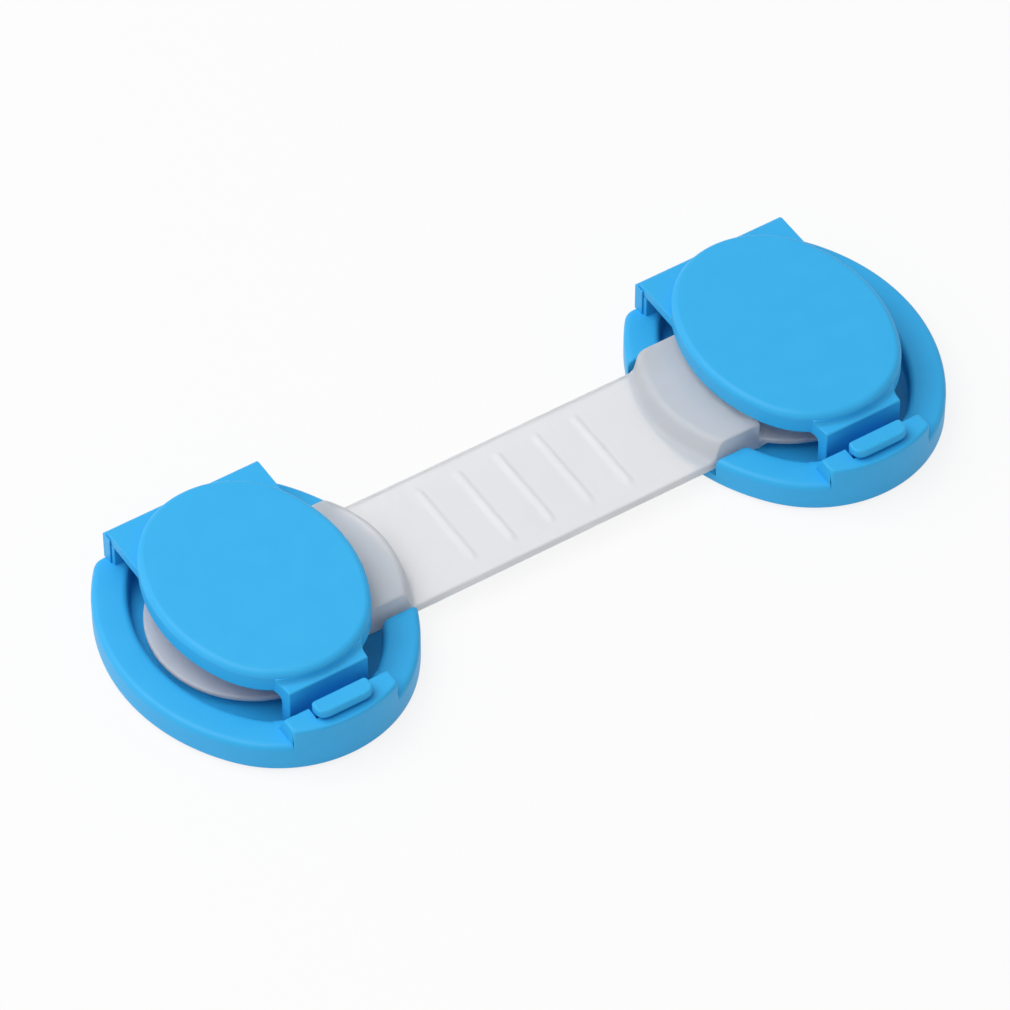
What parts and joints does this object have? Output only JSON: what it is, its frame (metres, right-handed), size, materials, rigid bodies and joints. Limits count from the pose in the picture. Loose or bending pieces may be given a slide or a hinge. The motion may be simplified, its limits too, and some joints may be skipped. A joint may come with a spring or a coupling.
{
  "type": "cabinet safety lock",
  "caption": "Cabinet safety lock: oval stick-on bases with hinged snap lids, joined by a flexible ribbed strap whose round ends are held in wells under the lids.",
  "frame": {"origin": "middle of the whole part, on the mounting surface under the two adhesive pads", "axes": "+X along the strap to the right-hand lock, +Y towards the lid hinges, +Z away from the mounting surface"},
  "size_m": [0.134, 0.0469, 0.0126],
  "materials": {
    "blue_plastic": "satin moulded plastic, sky blue",
    "strap_plastic": "milky translucent flexible plastic, frosted",
    "foam_tape": "white closed-cell foam tape",
    "liner_paper": "smooth coated release paper"
  },
  "bodies": {
    "left_base": {"left_base": "blue_plastic", "left_hinge_film": "blue_plastic", "left_foam_pad": "foam_tape", "left_release_liner": "liner_paper"},
    "left_lid": {"left_lid": "blue_plastic"},
    "left_latch": {"left_latch": "blue_plastic"},
    "strap_left": {"strap_left_half": "strap_plastic"},
    "strap_right": {"strap_right_half": "strap_plastic"},
    "right_base": {"right_base": "blue_plastic", "right_hinge_film": "blue_plastic", "right_foam_pad": "foam_tape", "right_release_liner": "liner_paper"},
    "right_lid": {"right_lid": "blue_plastic"},
    "right_latch": {"right_latch": "blue_plastic"}
  },
  "joints": [
    {"name": "left_lid_hinge", "type": "hinge", "parent": "left_base", "child": "left_lid", "pos_m": [-0.045, 0.02295, 0.0095], "axis": [-1, 0, 0], "range_deg": [0, 170]},
    {"name": "left_latch_flex", "type": "hinge", "parent": "left_lid", "child": "left_latch", "pos_m": [-0.045, -0.0198, 0.0034], "axis": [-1, 0, 0], "range_deg": [-7, 8], "stiffness_Nm_per_rad": 0.02},
    {"name": "left_strap_swivel", "type": "hinge", "parent": "left_base", "child": "strap_left", "pos_m": [-0.045, 0.00305, 0.0023], "axis": [0, 0, 1], "range_deg": [-1.5, 1.5]},
    {"name": "strap_bend", "type": "hinge", "parent": "strap_left", "child": "strap_right", "pos_m": [0, 0.00305, 0.0023], "axis": [0, 1, 0], "range_deg": [0, 90], "stiffness_Nm_per_rad": 0.05},
    {"name": "right_strap_swivel", "type": "hinge", "parent": "strap_right", "child": "right_base", "pos_m": [0.045, 0.00305, 0.0023], "axis": [0, 0, 1], "range_deg": [-1.5, 1.5]},
    {"name": "right_lid_hinge", "type": "hinge", "parent": "right_base", "child": "right_lid", "pos_m": [0.045, 0.02295, 0.0095], "axis": [-1, 0, 0], "range_deg": [0, 170]},
    {"name": "right_latch_flex", "type": "hinge", "parent": "right_lid", "child": "right_latch", "pos_m": [0.045, -0.0198, 0.0034], "axis": [-1, 0, 0], "range_deg": [-7, 8], "stiffness_Nm_per_rad": 0.02}
  ]
}
